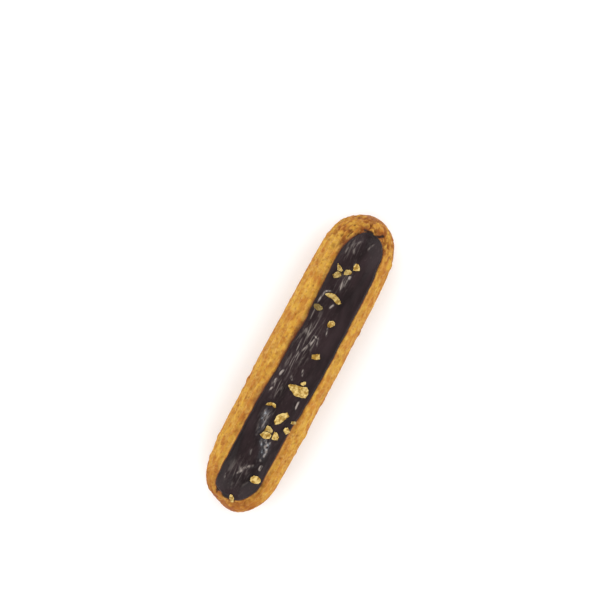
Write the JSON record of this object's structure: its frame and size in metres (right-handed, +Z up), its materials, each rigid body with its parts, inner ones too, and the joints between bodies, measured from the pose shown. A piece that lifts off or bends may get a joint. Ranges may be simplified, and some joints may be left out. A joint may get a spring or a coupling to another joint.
{
  "type": "eclair",
  "caption": "Long choux pastry bar with rounded ends and a flat underside, topped with a strip of dark chocolate glaze and scattered flakes of gold leaf.",
  "frame": {"origin": "middle of the flat underside, on the surface that the eclair rests on", "axes": "+Z up, +X along the bar towards the end that the glaze leaves barer, +Y across the bar"},
  "size_m": [0.14, 0.034, 0.0294],
  "materials": {
    "choux": "matte",
    "chocolate": "gloss",
    "gold_leaf": "satin"
  },
  "bodies": {
    "root": {"choux_shell": "choux", "chocolate_glaze": "chocolate", "gold_flake_01": "gold_leaf", "gold_flake_02": "gold_leaf", "gold_flake_03": "gold_leaf", "gold_flake_04": "gold_leaf", "gold_flake_05": "gold_leaf", "gold_flake_06": "gold_leaf", "gold_flake_07": "gold_leaf", "gold_flake_08": "gold_leaf", "gold_flake_09": "gold_leaf", "gold_flake_10": "gold_leaf", "gold_flake_11": "gold_leaf", "gold_flake_12": "gold_leaf", "gold_flake_13": "gold_leaf", "gold_flake_14": "gold_leaf", "gold_flake_15": "gold_leaf", "gold_flake_16": "gold_leaf", "gold_flake_17": "gold_leaf", "gold_flake_18": "gold_leaf", "gold_flake_19": "gold_leaf"}
  },
  "joints": []
}
